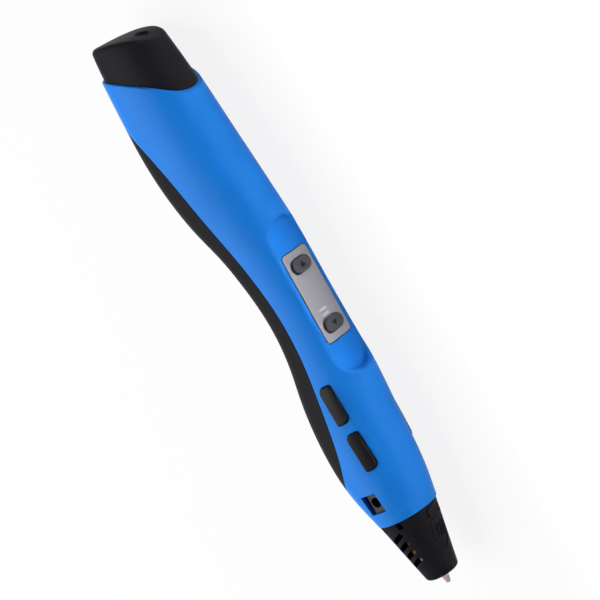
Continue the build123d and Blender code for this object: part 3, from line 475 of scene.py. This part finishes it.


# The printed bars on the key plate, and near-black sheets in the keys' arrow hollows that paint the shade of
# their recessed walls, in millimetres.
plate = {
    "tilt": 2.4,  # degrees, its slope down towards the nose
    "thick": 1.2, "keySpacing": 18.8, "keyTop": 1.0,  # the keys stand keyTop above it
}
arrowShade = {
    "corners": [(1.0, 0.0), (-0.7, 1.1), (-0.7, -1.1)], "round": 0.08,  # the hollow, its point to +along
    "share": 0.92,  # its size against the hollow's
    "depth": (-0.29, -0.1), "soft": 0.03,  # its foot and top against the key's top, and its rounded rim
}
bar = {
    "places": (4.6, 6.1), "width": 0.8, "length": 3.4, "side": 0.9,  # on the plate, from its middle
    "round": 0.12, "height": (-0.1, 0.06), "soft": 0.05,
}
plateLow, plateHigh = (np.array(corner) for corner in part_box("key_plate"))
slope = math.radians(plate["tilt"])
plateAlong = np.array([math.cos(slope), -math.sin(slope), 0.0])
plateAcross = np.array([0.0, 0.0, 1.0])
plateOut = np.array([math.sin(slope), math.cos(slope), 0.0])
plateTop = (plateLow + plateHigh) / 2 + plateOut * plate["thick"] / 2 * mm


def onPlate(along, side, lift):
    # A point above the plate's middle: along it towards the nose, sideways to +Z and out.
    way = along[..., None] * plateAlong + side[..., None] * plateAcross + lift[..., None] * plateOut
    return plateTop + way * mm


def roundedOutline(corners, radius, steps=7):
    # A closed outline with each corner turned into an arc: the arc's middle stands at
    # radius / sin(half the corner's angle) from the corner, on the line that halves the angle.
    corners = np.array(corners, dtype=float)
    before = corners - np.roll(corners, 1, axis=0)
    after = np.roll(corners, -1, axis=0) - corners
    before, after = (v / np.linalg.norm(v, axis=1, keepdims=True) for v in (before, after))
    inward = after - before
    inward = inward / np.linalg.norm(inward, axis=1, keepdims=True)
    half = np.arccos(np.clip((inward * after).sum(1), -1, 1))
    middles = corners + inward * (radius / np.sin(half))[:, None]
    normals = [np.stack([v[:, 1], -v[:, 0]], -1) for v in (before, after)]
    share = np.linspace(0, 1, steps)[None, :, None]
    arc = normals[0][:, None] * (1 - share) + normals[1][:, None] * share
    arc = arc / np.linalg.norm(arc, axis=2, keepdims=True)
    return (middles[:, None] + arc * radius).reshape(-1, 2)


def lowPad(corners, radius, low, high, soft, place, turned=1):
    # A flat pad on the plate: one outline at its foot and near its top, then drawn in by soft and
    # capped.  place is its middle, and turned is 1 or -1: which way its +along points.
    outline = roundedOutline(corners, radius)
    middle = outline.mean(0)
    shrunk = middle + (outline - middle) * (1 - soft / np.abs(outline - middle).max())
    rings = np.stack([outline, outline, shrunk])
    lift = np.broadcast_to(np.array([low, high - soft, high])[:, None], rings.shape[:2])
    return onPlate(place[0] + turned * rings[..., 0], place[1] + turned * rings[..., 1], lift)


arrow = np.array(arrowShade["corners"]) * arrowShade["share"]
arrowShadeLow, arrowShadeHigh = (plate["keyTop"] + depth for depth in arrowShade["depth"])
# each key's arrow hollow gets a near-black sheet, which is painted shade
for name, key, turned in (("rear_arrow", "rear_key_body", -1), ("front_arrow", "front_key_body", 1)):
    place = (turned * plate["keySpacing"] / 2, 0.0)
    pad = lowPad(arrow, arrowShade["round"], arrowShadeLow, arrowShadeHigh, arrowShade["soft"], place, turned)
    addPiece(name, *joinGrids([pad]), "ink", "key", key)
x, z = bar["width"] / 2, bar["length"] / 2
barCorners = [(-x, -z), (x, -z), (x, z), (-x, z)]
bars = [
    lowPad(barCorners, bar["round"], *bar["height"], bar["soft"], (along, bar["side"]))
    for along in bar["places"]
]
addPiece("plate_bars", *joinGrids(bars), "print", "white_plastic")
print("plate marks made")


# The camera looks down on the keys from the buttons' side, with the nozzle at the lower right.
view = {
    "aim": (-0.091, 0.0, 0.0), "shift": (-0.00125, 0.0050),  # metres, along the pen and across it
    "distance": 0.620, "width": 0.1708,  # how far off it stands, and how wide it sees there
    "turn": 5.7, "lean": 45.0, "roll": 59.0,  # degrees
    "sensor": 36.0,  # millimetres
    "clip": (0.01, 20.0),  # the nearest and farthest that it sees
}
turn, lean, tilt = (math.radians(view[name]) for name in ("turn", "lean", "roll"))
towards = Vector((-math.sin(turn), math.cos(turn) * math.sin(lean), math.cos(turn) * math.cos(lean)))
alongPen = Vector((math.cos(turn), math.sin(turn) * math.sin(lean), math.sin(turn) * math.cos(lean)))
acrossPen = Vector((0.0, math.cos(lean), -math.sin(lean)))
right = alongPen * math.cos(tilt) + acrossPen * math.sin(tilt)
up = -(alongPen * math.sin(tilt) - acrossPen * math.cos(tilt))
aim = Vector(view["aim"]) + alongPen * view["shift"][0] + acrossPen * view["shift"][1]
spin = Matrix((right, up, towards)).transposed().to_4x4()
camera = bpy.data.objects.new("Camera", bpy.data.cameras.new("Camera"))
camera.matrix_world = Matrix.Translation(aim + towards * view["distance"]) @ spin
camera.data.lens = view["sensor"] * view["distance"] / view["width"]
camera.data.sensor_width = view["sensor"]
camera.data.clip_start, camera.data.clip_end = view["clip"]
bpy.context.scene.collection.objects.link(camera)
bpy.context.scene.camera = camera
bpy.context.scene.view_settings.view_transform = "Standard"


# Soft panels of light: where each comes from in the pen's own axes, its size in metres, and how
# brightly it lights a surface that faces it, where 1 shows a colour as it is written.
panels = {
    "RearPanel": {"comesFrom": (-0.1, -0.62, 0.78), "size": (1.2, 0.9), "level": 1.55},
    "FrontPanel": {"comesFrom": (0.1, 0.99, 0.085), "size": (0.9, 0.14), "level": 0.12},
    # A narrow one that shines straight down on the table before the pen, which throws its light back up.
    "TablePanel": {
        "comesFrom": (0.0, 0.0, 1.0), "size": (0.5, 0.2), "level": 1.8,
        "distance": 0.5, "spread": 15.0, "aimedAt": (aim.x, 0.19, 0.0),
    },
}
roomLevel = 0.08  # the even light from all round


def softPanel(name, comesFrom, size, level, distance=0.9, spread=180.0, aimedAt=aim):
    # A wide panel of power p lights a white surface d away, which faces it, to p / (pi * d) ^ 2.
    lamp = bpy.data.lights.new(name, "AREA")
    lamp.shape = "RECTANGLE"
    lamp.size, lamp.size_y = size
    lamp.spread = math.radians(spread)
    lamp.energy = level * (math.pi * distance) ** 2
    way = Vector(comesFrom).normalized()
    facing = way.to_track_quat("Z", "Y").to_matrix().to_4x4()
    panel = bpy.data.objects.new(name, lamp)
    panel.matrix_world = Matrix.Translation(Vector(aimedAt) + way * distance) @ facing
    bpy.context.scene.collection.objects.link(panel)


for name, facts in panels.items():
    softPanel(name, **facts)
world = bpy.data.worlds.new("Room")
bpy.context.scene.world = world
world.use_nodes = True
room = world.node_tree.nodes["Background"]
room.inputs["Color"].default_value = (1.0, 1.0, 1.0, 1.0)
room.inputs["Strength"].default_value = roomLevel


# The table: white to the eye and to mirrors, pale for light, and it keeps the pen's shadow.
table = {
    "gap": 0.00005, "reach": 3.0, "lines": 13,  # metres below the pen and out from it; a grid of lines
    "speck": 0.002, "speckShare": 0.3, "shades": ((0.9, 0.9, 0.9), (0.94, 0.94, 0.94)),
    "glow": 0.88,  # how much of what the eye sees is plain white and not shadow
}


def makeTable():
    # A flat square grid of points, level with the pen's lowest point.
    side = np.linspace(-table["reach"], table["reach"], table["lines"])
    xs, ys = np.meshgrid(side, side, indexing="ij")
    level = cadBox[0].z - table["gap"]
    points = np.stack([xs, ys, np.full_like(xs, level)], -1).reshape(-1, 3)
    mesh = bpy.data.meshes.new("Table")
    mesh.from_pydata(points.tolist(), [], gridFaces(table["lines"], table["lines"]).tolist())
    top = bpy.data.objects.new("Table", mesh)
    bpy.context.scene.collection.objects.link(top)
    g = Graph("PaleTable")
    shade = g.mix(g.noise(table["speck"]) * table["speckShare"], *table["shades"])
    matt = g.add("ShaderNodeBsdfDiffuse", {}, {"Color": shade})
    glow = g.add("ShaderNodeEmission", {}, {"Color": (1.0, 1.0, 1.0, 1.0), "Strength": 1.0})
    rays = ("Is Camera Ray", "Is Glossy Ray", "Is Transmission Ray")
    seen, mirrored, passed = (g.add("ShaderNodeLightPath", {}, {}, ray) for ray in rays)
    direct = (seen + mirrored + passed).clamped()
    white = g.add("ShaderNodeMixShader", {}, {0: direct * table["glow"], 1: matt, 2: glow})
    g.add("ShaderNodeOutputMaterial", {}, {"Surface": white})
    mesh.materials.append(g.material)


makeTable()
print("camera, light and table ready")
